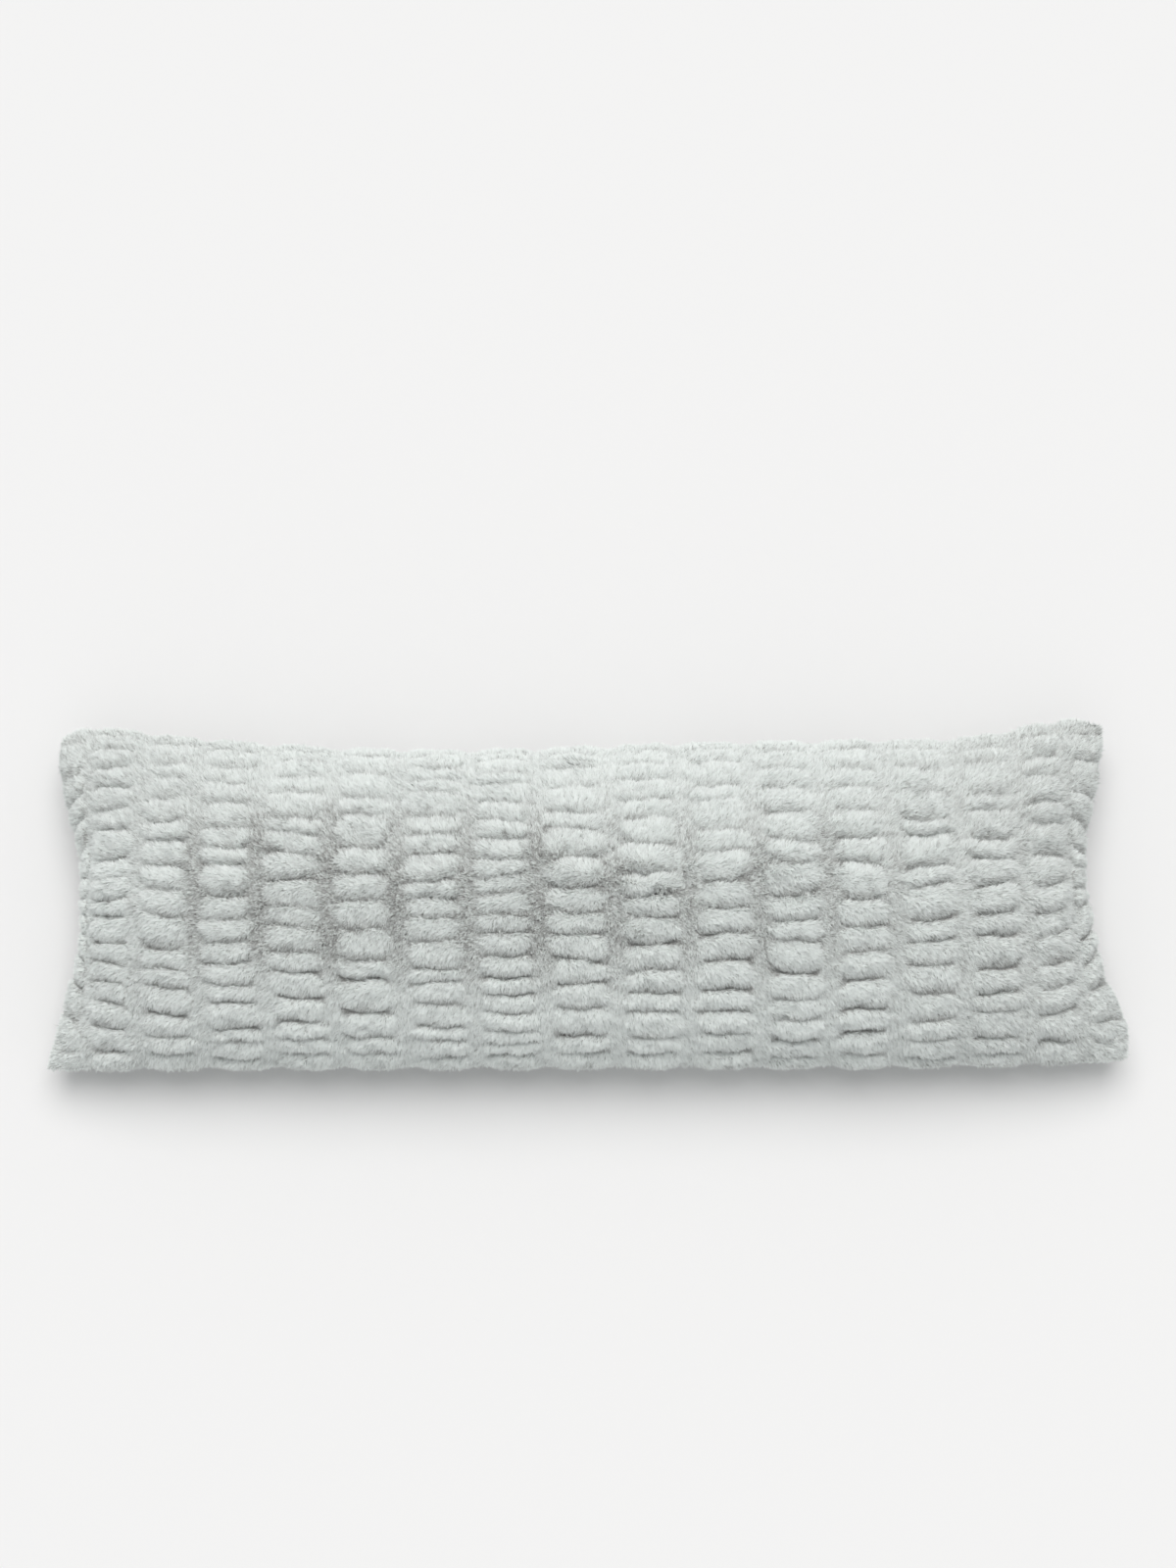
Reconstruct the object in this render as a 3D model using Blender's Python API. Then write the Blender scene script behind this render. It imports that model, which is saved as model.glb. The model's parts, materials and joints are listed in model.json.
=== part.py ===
"""Body pillow: a long filled cushion whose fur face is gathered along upright seams into puffs.

The pillow lies on its back. +X runs along its length, +Y towards its upper long edge and +Z out
of its face. The surface is the one that the tips of the pile reach. All sizes are in metres.
"""

import math
import random
from collections import namedtuple

import bmesh
import bpy
from mathutils import Vector

# Heights.
EDGE_HEIGHT = 0.064  # of the edge seam above what the pillow lies on
FACE_CROWN = 0.094  # of the face above the edge seam
CORNER_DROOP = 0.010  # how much lower the edge seam hangs at a corner

# Corners of the outline, seen from above. A corner is rounded by its pull towards the middle, and
# its gathers die away as far as it is plain.
Corner = namedtuple("Corner", "x y pull plain")  # past 1, plain stays plain further in
LOW_LEFT = Corner(x=-0.602, y=-0.204, pull=0.004, plain=1.6)
LOW_RIGHT = Corner(x=0.614, y=-0.195, pull=0.006, plain=1.6)
HIGH_LEFT = Corner(x=-0.598, y=0.202, pull=0.018, plain=0.8)
HIGH_RIGHT = Corner(x=0.602, y=0.224, pull=0.030, plain=0.3)
CORNER_SHARPNESS = 9.0

# The outline between its corners, in even steps from corner to corner: how far out each end lies
# on the way up, and how high the upper edge lies on the way to the right.
Station = namedtuple("Station", "left right top")
STATIONS = (
    Station(left=-0.591, right=0.612, top=0.181),
    Station(left=-0.580, right=0.590, top=0.169),
    Station(left=-0.570, right=0.580, top=0.165),
    Station(left=-0.571, right=0.572, top=0.169),
    Station(left=-0.573, right=0.572, top=0.174),
    Station(left=-0.588, right=0.586, top=0.176),
    Station(left=-0.597, right=0.594, top=0.184),
)
LEFT_END = (LOW_LEFT.x, *(station.left for station in STATIONS), HIGH_LEFT.x)
RIGHT_END = (LOW_RIGHT.x, *(station.right for station in STATIONS), HIGH_RIGHT.x)
HIGH_EDGE = (HIGH_LEFT.y, *(station.top for station in STATIONS), HIGH_RIGHT.y)
HIGH_EDGE_MIDDLE = 0.169
LOW_EDGE_MIDDLE = -0.201
EDGE_CURVE_POWER = 3.0

# Crown: how full it is along the length and across the width.
LENGTH_FULLNESS = 5.0
WIDTH_FULLNESS = 2.3
EDGE_ROUNDNESS = 0.62

# Upright seams: where each crosses the lower edge, the middle and the upper edge.
Seam = namedtuple("Seam", "low middle high")
SEAMS = (
    Seam(-0.559, -0.562, -0.560),
    Seam(-0.493, -0.499, -0.489),
    Seam(-0.415, -0.430, -0.423),
    Seam(-0.341, -0.359, -0.352),
    Seam(-0.266, -0.280, -0.273),
    Seam(-0.190, -0.203, -0.203),
    Seam(-0.112, -0.125, -0.126),
    Seam(-0.039, -0.048, -0.053),
    Seam(0.040, 0.033, 0.028),
    Seam(0.115, 0.116, 0.103),
    Seam(0.198, 0.193, 0.182),
    Seam(0.273, 0.269, 0.257),
    Seam(0.349, 0.345, 0.332),
    Seam(0.424, 0.420, 0.411),
    Seam(0.498, 0.491, 0.482),
    Seam(0.565, 0.553, 0.540),
)
SEAM_DEPTH = 0.0075
FLAT_SEAM = 0.14  # share of a column that its two seams keep flat

# Puffs: the gathers of each column, from the left. Shifts along a column are in puff lengths.
PUFF_COUNTS = (14, 17, 16, 17, 17, 14, 18, 20, 15, 16, 15, 15, 14, 15, 15, 14, 14)
COLUMNS = len(PUFF_COUNTS)
GROOVE_DEPTH = 0.014
GROOVE_EASING = 0.3  # how much deeper than the mean the lowest grooves are, and the highest shallower
SHALLOWEST_GROOVE = 0.5
EDGE_GROOVE_DEPTH = 0.002
COLUMN_SHIFT = 0.40
GROOVE_SHIFT = 0.25
GROOVE_ASIDE = 0.25  # most that the middle of a groove lies off its column's, in half columns
EDGE_HOLD = 8
GROOVE_SLANT = 0.04  # most that a groove leans from one seam to the next, in half widths
LOWEST_PUFF = 0.0025  # how far the flattest puff stays below the fullest
END_FAN = 0.50  # how far the grooves draw together towards the waist of an end
END_FAN_POWER = 5
PLAIN_END_POWER = 6
LOW_RIM_FLATNESS = 0.35
HIGH_RIM_FLATNESS = 0.40
RIM_POWER = 8
PATTERN_SEED = 11

# Shape of a puff: along its column, and from seam to seam.
PUFF_TAPER = 3.1
PUFF_SQUARENESS = 2.2
PUFF_TOP_WEIGHT = 1.35
COLUMN_SQUARENESS = 3.5
PUFF_ROUNDNESS = 0.6
GROOVE_REACH = 0.88  # share of a column over which a groove is deeper than the seams
UPPER_FROM = 0.35
END_FULLNESS = 0.5
END_GROOVES = 0.5

# Grid lines: of one column, in shares of its width, and of the whole face from edge to edge.
COLUMN_STEPS = (0.0, 0.17, 0.5, 0.83, 1.0)
COLUMN_LINES = len(COLUMN_STEPS) - 1
FACE_ROWS = 60

# Back: it curves under from the edge seam to the flat patch on which the pillow lies.
BACK_INSET = 0.075
BACK_RINGS = 5

FUR_COLOR = (0.60, 0.66, 0.63, 1.0)
FUR_ROUGHNESS = 0.9

ARC_SAMPLES = 400
SLOPE_STEP = 0.002


def mix(start, end, share):
    return start + (end - start) * share


def section_lift(across):
    """Height of the face at a share of the half width from the middle, 1 at the middle."""
    return max(0.0, 1.0 - abs(across) ** WIDTH_FULLNESS) ** EDGE_ROUNDNESS


def even_along_cloth():
    """Shares of the half width along the curved face, and how far along the cloth each one is."""
    half_width = (HIGH_EDGE_MIDDLE - LOW_EDGE_MIDDLE) / 2
    shares = [math.sin(math.pi * (i / ARC_SAMPLES - 0.5)) for i in range(ARC_SAMPLES + 1)]
    lengths = [0.0]
    for a, b in zip(shares, shares[1:]):
        rise = FACE_CROWN * (section_lift(b) - section_lift(a))
        lengths.append(lengths[-1] + math.hypot(half_width * (b - a), rise))
    return shares, [2 * length / lengths[-1] - 1 for length in lengths]


SHARES, CLOTH_POSITIONS = even_along_cloth()


def share_at(cloth):
    """Share of the half width at a position along the cloth, both from -1 to 1."""
    above = next((i for i in range(1, ARC_SAMPLES) if CLOTH_POSITIONS[i] >= cloth), ARC_SAMPLES)
    start, end = CLOTH_POSITIONS[above - 1 : above + 1]
    part = min(max((cloth - start) / (end - start), 0.0), 1.0)
    return mix(SHARES[above - 1], SHARES[above], part)


def curve_through(values, across):
    """A smooth curve through values set at even steps from -1 to 1."""
    last = len(values) - 1
    place = (min(max(across, -1.0), 1.0) + 1) / 2 * last
    first = min(int(place), last - 1)
    t = place - first
    before, start, end, after = (values[min(max(i, 0), last)] for i in range(first - 1, first + 3))
    bend = 2 * before - 5 * start + 4 * end - after + (3 * start - 3 * end + after - before) * t
    return start + t / 2 * (end - before + bend * t)


def seam_x(index, across):
    """Where an upright seam or an end of the panel lies, at a share of the half width."""
    if index == 0:
        return curve_through(LEFT_END, across)
    if index == COLUMNS:
        return curve_through(RIGHT_END, across)
    seam = SEAMS[index - 1]
    bow = (seam.high + seam.low) / 2 - seam.middle
    return seam.middle + (seam.high - seam.low) / 2 * across + bow * across**2


def low_edge(x):
    corner = LOW_LEFT if x < 0 else LOW_RIGHT
    return mix(LOW_EDGE_MIDDLE, corner.y, (x / corner.x) ** EDGE_CURVE_POWER)


def high_edge(x):
    return curve_through(HIGH_EDGE, 2 * (x - HIGH_LEFT.x) / (HIGH_RIGHT.x - HIGH_LEFT.x) - 1)


def corner_at(along, across):
    if along < 0:
        return HIGH_LEFT if across > 0 else LOW_LEFT
    return HIGH_RIGHT if across > 0 else LOW_RIGHT


def flat_place(position, across):
    """Place seen from above. The position counts columns, and across runs from -1 to 1."""
    column = min(int(position), COLUMNS - 1)
    x = mix(seam_x(column, across), seam_x(column + 1, across), position - column)
    y = mix(low_edge(x), high_edge(x), (across + 1) / 2)
    along = 2 * position / COLUMNS - 1
    pull = corner_at(along, across).pull * abs(along * across) ** CORNER_SHARPNESS
    return x - math.copysign(pull, x), y - math.copysign(pull, y)


def smooth_place(position, cloth):
    """Place on the face with no seams or puffs in it."""
    across = share_at(cloth)
    x, y = flat_place(position, across)
    end = seam_x(0, across) if x < 0 else seam_x(COLUMNS, across)
    along = min(1.0, x / end) ** LENGTH_FULLNESS
    crown = FACE_CROWN * (1 - along) ** EDGE_ROUNDNESS * section_lift(across)
    return Vector((x, y, EDGE_HEIGHT - CORNER_DROOP * along * across**2 + crown))


def face_normal(position, cloth):
    """Direction out of the smooth face."""
    left = max(position - SLOPE_STEP * COLUMNS, 0.0)
    right = min(position + SLOPE_STEP * COLUMNS, COLUMNS)
    below = max(cloth - SLOPE_STEP, -1.0)
    above = min(cloth + SLOPE_STEP, 1.0)
    sideways = smooth_place(right, cloth) - smooth_place(left, cloth)
    upwards = smooth_place(position, above) - smooth_place(position, below)
    return sideways.cross(upwards).normalized()


# A groove, and how far the puff above it stays below the fullest one.
Groove = namedtuple("Groove", "position depth slant low aside")


def grooves_of(column):
    """The grooves of one column from the lower edge up, uneven as gathered cloth is."""
    chance = random.Random(PATTERN_SEED * COLUMNS + column)
    puffs = PUFF_COUNTS[column]
    pitch = 2 / puffs
    column_shift = chance.uniform(-COLUMN_SHIFT, COLUMN_SHIFT)
    grooves = []
    for i in range(puffs + 1):
        even = i * pitch - 1
        shift = column_shift + chance.uniform(-GROOVE_SHIFT, GROOVE_SHIFT)
        position = even + pitch * shift * (1 - even**EDGE_HOLD)
        depth = GROOVE_DEPTH * chance.uniform(SHALLOWEST_GROOVE, 1.0) * (1 - GROOVE_EASING * even)
        slant = chance.uniform(-GROOVE_SLANT, GROOVE_SLANT)
        low = chance.uniform(0, LOWEST_PUFF)
        aside = chance.uniform(-GROOVE_ASIDE, GROOVE_ASIDE)
        if i in (0, puffs):
            depth = EDGE_GROOVE_DEPTH
        grooves.append(Groove(position, depth, slant, low, aside))
    return grooves


GROOVES = [grooves_of(column) for column in range(COLUMNS)]


def puff_of_row(column, row):
    """The puff that a row of the grid lies in, and how far up through it."""
    puffs = PUFF_COUNTS[column]
    starts = [round(FACE_ROWS * i / puffs) for i in range(puffs + 1)]
    puff = max(i for i in range(puffs) if starts[i] <= row)
    return puff, (row - starts[puff]) / (starts[puff + 1] - starts[puff])


def row_position(column, part, row):
    """Position along the cloth of a row of the grid, leaning as the grooves by it do."""
    puff, step = puff_of_row(column, row)
    below, above = GROOVES[column][puff : puff + 2]
    position = mix(below.position, above.position, step)
    slant = mix(below.slant, above.slant, step) * (part - 0.5)
    fan = END_FAN * abs(2 * (column + part) / COLUMNS - 1) ** END_FAN_POWER
    return position + (1 - position**2) * (slant - fan * position)


def shared_row_position(column, part, row):
    """The same, where the rows of two columns meet halfway at the seam between them."""
    own = row_position(column, part, row)
    if part == 0.0 and column > 0:
        return (own + row_position(column - 1, 1.0, row)) / 2
    return own


def depth_below_tips(column, part, row):
    """How far the face lies below the tips of its fullest puffs."""
    puff, step = puff_of_row(column, row)
    below, above = GROOVES[column][puff : puff + 2]
    aside = (2 * part - 1) / (1 - FLAT_SEAM)
    groove_share = 1.0
    if column + part < 0.5 or column + part > COLUMNS - 0.5:
        aside *= END_FULLNESS
        groove_share = mix(1, END_GROOVES, abs(2 * part - 1))
    aside = min(max(aside, -1.0), 1.0)
    reach = math.sqrt(1 - abs(aside) ** PUFF_TAPER)
    apart = min(abs(2 * step**PUFF_TOP_WEIGHT - 1) / max(reach, 1e-6), 1.0)
    fullness = (1 - apart**PUFF_SQUARENESS) ** PUFF_ROUNDNESS * (1 - abs(aside) ** COLUMN_SQUARENESS)
    upper = min(max((step - UPPER_FROM) / (1 - 2 * UPPER_FROM), 0.0), 1.0)
    groove = mix(below.depth, above.depth, upper) * groove_share
    from_slit = abs(aside - mix(below.aside, above.aside, upper) * (1 - aside**2))
    valley = mix(groove, SEAM_DEPTH, min(from_slit / GROOVE_REACH, 1.0) ** 3)
    return mix(valley, below.low, fullness)


def plainness(position, cloth):
    """How far the gathers die away: towards the corners, and a little along the edges."""
    along = 2 * position / COLUMNS - 1
    at_corner = corner_at(along, cloth).plain * along**PLAIN_END_POWER * cloth**2
    flatness = LOW_RIM_FLATNESS if cloth < 0 else HIGH_RIM_FLATNESS
    return min(1.0, max(at_corner, flatness * abs(cloth) ** RIM_POWER))


def face_point(column_line, row):
    """Place of a grid vertex of the face, with its seams and puffs."""
    column = min(column_line // COLUMN_LINES, COLUMNS - 1)
    part = COLUMN_STEPS[column_line - column * COLUMN_LINES]
    position = column + part
    cloth = shared_row_position(column, part, row)
    depth = depth_below_tips(column, part, row) * (1 - plainness(position, cloth))
    return smooth_place(position, cloth) - depth * face_normal(position, cloth)


def make_face(bm):
    """The gathered face panel, as a grid with a few lines for each seam and puff."""
    lines_along = COLUMNS * COLUMN_LINES
    bmesh.ops.create_grid(bm, x_segments=lines_along, y_segments=FACE_ROWS, size=1.0)
    for vertex in bm.verts:
        column_line = round((vertex.co.x + 1) / 2 * lines_along)
        row = round((vertex.co.y + 1) / 2 * FACE_ROWS)
        vertex.co = face_point(column_line, row)


def centre(bm):
    """Puts the middle of the face's own box over the origin."""
    xs = [vertex.co.x for vertex in bm.verts]
    ys = [vertex.co.y for vertex in bm.verts]
    middle = Vector(((min(xs) + max(xs)) / 2, (min(ys) + max(ys)) / 2, 0))
    bmesh.ops.translate(bm, verts=bm.verts, vec=-middle)


def make_back(bm):
    """The plain back panel: rings that curve under from the edge seam, and a flat patch."""
    half_length = (LOW_RIGHT.x - LOW_LEFT.x) / 2
    half_width = (HIGH_EDGE_MIDDLE - LOW_EDGE_MIDDLE) / 2
    border = [edge for edge in bm.edges if edge.is_boundary]
    width_left = 1.0
    length_left = 1.0
    height_left = 1.0
    for ring in range(1, BACK_RINGS + 1):
        angle = math.pi / 2 * ring / BACK_RINGS
        inset = BACK_INSET * (1 - math.cos(angle))
        length = 1 - inset / half_length
        width = 1 - inset / half_width
        height = 1 - math.sin(angle)
        if ring == BACK_RINGS:
            height = 0.0
        scale = Vector((length / length_left, width / width_left, height / height_left))
        extruded = bmesh.ops.extrude_edge_only(bm, edges=border)["geom"]
        vertices = [item for item in extruded if isinstance(item, bmesh.types.BMVert)]
        bmesh.ops.scale(bm, verts=vertices, vec=scale)
        border = [edge for edge in bm.edges if edge.is_boundary]
        length_left, width_left, height_left = length, width, height
    bmesh.ops.contextual_create(bm, geom=border)
    if bm.calc_volume(signed=True) < 0:
        bmesh.ops.reverse_faces(bm, faces=bm.faces)


def fur_material():
    material = bpy.data.materials.new("faux_fur")
    material.use_nodes = True
    shader = material.node_tree.nodes["Principled BSDF"]
    shader.inputs["Base Color"].default_value = FUR_COLOR
    shader.inputs["Roughness"].default_value = FUR_ROUGHNESS
    shader.inputs["Metallic"].default_value = 0.0
    return material


def make_pillow(collection):
    bm = bmesh.new()
    make_face(bm)
    centre(bm)
    make_back(bm)
    mesh = bpy.data.meshes.new("pillow")
    bm.to_mesh(mesh)
    bm.free()
    mesh.materials.append(fur_material())
    mesh.shade_smooth()
    pillow = bpy.data.objects.new("pillow", mesh)
    collection.objects.link(pillow)


def main():
    for item in list(bpy.data.objects):
        bpy.data.objects.remove(item, do_unlink=True)
    collection = bpy.data.collections.new("body_pillow")
    bpy.context.scene.collection.children.link(collection)
    make_pillow(collection)


main()
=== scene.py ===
"""Looks of the body pillow: the gathered cloth under the fur, the pile on it, and a studio."""

import json
import math
import random
from collections import namedtuple

import bpy
import numpy as np
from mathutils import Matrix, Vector

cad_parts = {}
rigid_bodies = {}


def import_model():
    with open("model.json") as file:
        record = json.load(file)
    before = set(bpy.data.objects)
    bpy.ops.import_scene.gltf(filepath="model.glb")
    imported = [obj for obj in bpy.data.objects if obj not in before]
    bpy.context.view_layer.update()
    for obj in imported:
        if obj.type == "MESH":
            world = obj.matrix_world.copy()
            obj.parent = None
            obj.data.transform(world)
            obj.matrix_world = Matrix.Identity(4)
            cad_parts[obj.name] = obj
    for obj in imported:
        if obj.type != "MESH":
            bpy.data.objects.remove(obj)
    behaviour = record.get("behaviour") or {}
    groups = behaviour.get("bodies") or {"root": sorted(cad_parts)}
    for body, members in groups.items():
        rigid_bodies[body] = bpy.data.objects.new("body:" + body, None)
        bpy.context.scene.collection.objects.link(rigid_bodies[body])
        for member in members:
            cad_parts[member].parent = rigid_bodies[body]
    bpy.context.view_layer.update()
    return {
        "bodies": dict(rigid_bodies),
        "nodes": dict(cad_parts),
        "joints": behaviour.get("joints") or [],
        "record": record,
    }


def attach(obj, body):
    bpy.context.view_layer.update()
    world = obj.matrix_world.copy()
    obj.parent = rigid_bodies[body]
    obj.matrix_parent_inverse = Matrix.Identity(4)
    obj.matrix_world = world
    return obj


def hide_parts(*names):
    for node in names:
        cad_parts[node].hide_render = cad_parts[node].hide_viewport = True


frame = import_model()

# ---- Sizes of the solid, in metres, as its source has them ----
EDGE_HEIGHT = 0.064
FACE_CROWN = 0.094
CORNER_DROOP = 0.010

Corner = namedtuple("Corner", "x y pull plain")
LOW_LEFT = Corner(x=-0.602, y=-0.204, pull=0.004, plain=1.6)
LOW_RIGHT = Corner(x=0.614, y=-0.195, pull=0.006, plain=1.6)
HIGH_LEFT = Corner(x=-0.598, y=0.202, pull=0.018, plain=0.8)
HIGH_RIGHT = Corner(x=0.602, y=0.224, pull=0.030, plain=0.3)
CORNER_SHARPNESS = 9.0
Station = namedtuple("Station", "left right top")
STATIONS = (  # even steps from corner to corner: up the two ends, and to the right along the top
    Station(left=-0.591, right=0.612, top=0.181),
    Station(left=-0.580, right=0.590, top=0.169),
    Station(left=-0.570, right=0.580, top=0.165),
    Station(left=-0.571, right=0.572, top=0.169),
    Station(left=-0.573, right=0.572, top=0.174),
    Station(left=-0.588, right=0.586, top=0.176),
    Station(left=-0.597, right=0.594, top=0.184),
)
LOW_EDGE_MIDDLE = -0.201
HIGH_EDGE_MIDDLE = 0.169
EDGE_CURVE_POWER = 3.0
LENGTH_FULLNESS = 5.0
WIDTH_FULLNESS = 2.3
EDGE_ROUNDNESS = 0.62

Seam = namedtuple("Seam", "low middle high")
SEAMS = (
    Seam(-0.559, -0.562, -0.560),
    Seam(-0.493, -0.499, -0.489),
    Seam(-0.415, -0.430, -0.423),
    Seam(-0.341, -0.359, -0.352),
    Seam(-0.266, -0.280, -0.273),
    Seam(-0.190, -0.203, -0.203),
    Seam(-0.112, -0.125, -0.126),
    Seam(-0.039, -0.048, -0.053),
    Seam(0.040, 0.033, 0.028),
    Seam(0.115, 0.116, 0.103),
    Seam(0.198, 0.193, 0.182),
    Seam(0.273, 0.269, 0.257),
    Seam(0.349, 0.345, 0.332),
    Seam(0.424, 0.420, 0.411),
    Seam(0.498, 0.491, 0.482),
    Seam(0.565, 0.553, 0.540),
)
PUFF_COUNTS = (14, 17, 16, 17, 17, 14, 18, 20, 15, 16, 15, 15, 14, 15, 15, 14, 14)
COLUMNS = len(PUFF_COUNTS)
SEAM_DEPTH = 0.0075
GROOVE_DEPTH = 0.014
GROOVE_EASING = 0.3
SHALLOWEST_GROOVE = 0.5
EDGE_GROOVE_DEPTH = 0.002
COLUMN_SHIFT = 0.40
GROOVE_SHIFT = 0.25
GROOVE_ASIDE = 0.25
EDGE_HOLD = 8
GROOVE_SLANT = 0.04
LOWEST_PUFF = 0.0025
END_FAN = 0.50
END_FAN_POWER = 5
PLAIN_END_POWER = 6
LOW_RIM_FLATNESS = 0.35
HIGH_RIM_FLATNESS = 0.40
RIM_POWER = 8
PATTERN_SEED = 11
FLAT_SEAM = 0.14
PUFF_TAPER = 3.1
PUFF_SQUARENESS = 2.2
PUFF_TOP_WEIGHT = 1.35
COLUMN_SQUARENESS = 3.5
GROOVE_REACH = 0.88
UPPER_FROM = 0.35
PUFF_ROUNDNESS = 0.6
END_FULLNESS = 0.5
END_GROOVES = 0.5
SEAM_BLEND = 0.17
UNDERSIDE = 0.42  # share of a puff's length that hangs over the slit below it
BACK_INSET = 0.075

# ---- Fineness of the cloth ----
COLUMN_CUTS = 14
FACE_ROWS = 204
BACK_RINGS = 14
PATCH_RINGS = 3  # from the rim of the flat patch to its middle line
PATCH_NARROWING = 0.15
ARC_SAMPLES = 400
SLOPE_STEP = 0.002
CLOTH_HALF = 0.27  # half the length of the cloth over the face, from long edge to long edge

# ---- Settling of the cloth, simulated on a coarser grid ----
SETTLING_STEP = 2
SETTLING_FRAMES = 16
HOLD_LEVELS = 10  # steps in how firmly the cloth is held
LOOSENESS = 2.5  # how fast the hold falls off from a slit up onto a puff
FILLING_PRESSURE = 6.0
CLOTH_SPARE = 0.015  # how much wider the cloth is than its form, as a share
MOST_SETTLING = 0.0035

# ---- Crumples of the cloth: how far it moves, and how long they are ----
Crumple = namedtuple("Crumple", "height scale turn")
RUFFLE = Crumple(height=0.0012, scale=0.011, turn=5)  # in and out
FOLD = Crumple(height=0.0010, scale=0.030, turn=6)  # in and out, and longer along the pillow
FOLD_SQUEEZE = 2.2
SWAY = Crumple(height=0.0018, scale=0.028, turn=7)  # along the pillow
RISE = Crumple(height=0.0016, scale=0.024, turn=8)  # up and down the face
CRUMPLE_RIM = 1 / 12  # of the way from a long edge to the middle, in which they grow from nothing
CRUMPLE_END = 0.5  # the same at the ends, in columns
STAND_BY_RELIEF = 0.5  # how far the pile's upright follows the puffs instead of the smooth face
SHADE_BY_RELIEF = 0.85  # the same for its shading

# ---- Pile ----
PILE_HEIGHT = 0.0046  # from the cloth to the tips
PRESSED_PILE = 0.003  # the same, where the pillow lies on it
STRAND_LENGTH = 0.0080
LENGTH_RANGE = (0.75, 1.15)
STRAND_WIDTH = 0.0012
WIDTH_RANGE = (0.7, 1.2)
STRAND_TWIST = 0.45
STRAND_TONE = 0.15
STRAND_STRAY = 0.35
FACE_STRANDS = 700_000
BACK_STRANDS = 145_000
BACK_STRAND_WIDTH = 0.0020
BACK_TONE = 0.04
PATCH_DENSITY = 0.12  # of the pile on the underside, against that of the sides
STRANDS_A_PIECE = 190_000
PILE_SEED = 7
FLOOR_GAP = 0.0006
TUFT = 0.0034  # between the middles of two tufts that the strands gather in
TUFT_SEED = 5
TUFT_SHIFT = 0.4
TUFT_TONE = 0.18
TUFT_LEAN = 0.25
TUFT_PULL = 0.5  # on clean pile, against that on parted pile
PARTED_SPREAD = 1.8  # how much more the tones differ where the pile is parted
NORMAL_SOFTNESS = 0.62
UPWARD = 0.8  # weight of straight up in which side of a strand is its front
MAP_MARGIN = 0.01
TONE_HALF = 0.004  # half a strand's width over the map

# ---- The way the pile lies ----
MOST_LEAN = 1.16  # radians from upright, where the pile is brushed flat
MOST_COMBING = 1.1  # how far chance may add to the lean
PARTED_RISE = 0.35  # share of its lean that parted pile loses
SWEEP_AT = 0.012  # the pile is swept up above this place, down below it, and out to the ends
SWEEP_WIDTH = 0.050
SWEEP_LENGTH = 0.15
SWIRL = 0.55
SWIRL_SCALE = 0.05
SMALL_SWIRL_SCALE = 0.013
BACK_SWIRL = 0.3
BACK_SWIRL_SCALE = 0.07
LEAST_NAP = 0.5  # a combing stronger than this is brought to full strength
PARTED_NAP_LOSS = 0.5

# ---- Where it is parted, and how its tone, painted shade and length differ over the face ----
Region = namedtuple("Region", "x y half_length half_width")
OPEN = Region(x=-0.06, y=-0.008, half_length=0.42, half_width=0.095)  # where the seams' pile is parted
OPEN_LENGTH_POWER = 8
OPEN_WIDTH_POWER = 4
SEAM_POWER = 1.9
Ramp = namedtuple("Ramp", "start width")  # from nothing at its start to full at its far side
WORN = Ramp(start=-0.125, width=0.25)  # to the left, where more of the open pile is parted
PARTED_ON_PUFFS = 0.03
PARTED_ON_WORN_PUFFS = 0.09
PARTED_IN_SEAMS = 0.50
PARTED_IN_WORN_SEAMS = 0.22
PARTED_UNEVENNESS = 0.35
PARTED_PATCH = 0.045
# parted pile is darker: partly the backing and roots seen through the parting, partly painted shade
# inside the open pile
PARTED_TONE = 0.60
# painted shade: the pile is toned darker up the face, where the key light falls strongest
PAINTED_UPPER_SHADE = 0.10
UPPER_PART = Ramp(start=-0.02, width=0.10)  # up the face
# painted shade in the seams between the puffs
PAINTED_SEAM_SHADE = 0.10
# painted shade at the two ends: at the left away from the middle line, and at the right
PAINTED_LEFT_END_SHADE = 0.17
LEFT_PART = Ramp(start=0.28, width=0.25)  # to the left
ABOVE_AND_BELOW = Ramp(start=0.04, width=0.06)  # from the middle line
PAINTED_RIGHT_END_SHADE = 0.23
RIGHT_PART = Ramp(start=0.25, width=0.25)  # to the right
# painted shade along the low rim, where the face curves under
PAINTED_LOW_RIM_SHADE = 0.3
LOW_RIM = Ramp(start=0.92, width=0.08)  # down the cloth, as a share of its half length
TOP_ROWS = Ramp(start=0.70, width=0.15)  # up the cloth, likewise
OUTER_ENDS = Ramp(start=0.53, width=0.03)  # to both ends
CREASE = Ramp(start=SEAM_DEPTH, width=0.004)  # into the face, to where a slit is deepest: its painted shade and shorter pile are then full
# painted shade in slits and under puffs: how strong it is up the face, in the open region and in the top
# rows
PAINTED_CREASE_SHADE_EASING = Ramp(start=-0.10, width=0.20)  # up the face
PAINTED_CREASE_SHADE_AT_BOTTOM = 1.2
PAINTED_CREASE_SHADE_AT_TOP = 0.4
PAINTED_CREASE_SHADE_LOST_IN_OPEN = 0.25
PAINTED_CREASE_SHADE_ADDED_TO_TOP_ROWS = 0.2
# painted shade on the lower side of each puff, against that in the slit
PAINTED_UNDERSIDE_SHADE = 0.75
PARTED_SHORTER = 0.15
CREASE_SHORTER = 0.45
UNDERSIDE_SHORTER = 0.2
EDGES_SHORTER = 0.3

# ---- Colours ----
CLEAN_ROOT = (0.72, 0.76, 0.74, 1)
CLEAN_MIDDLE = (0.84, 0.885, 0.865, 1)
CLEAN_TIP = (0.90, 0.935, 0.92, 1)
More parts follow.
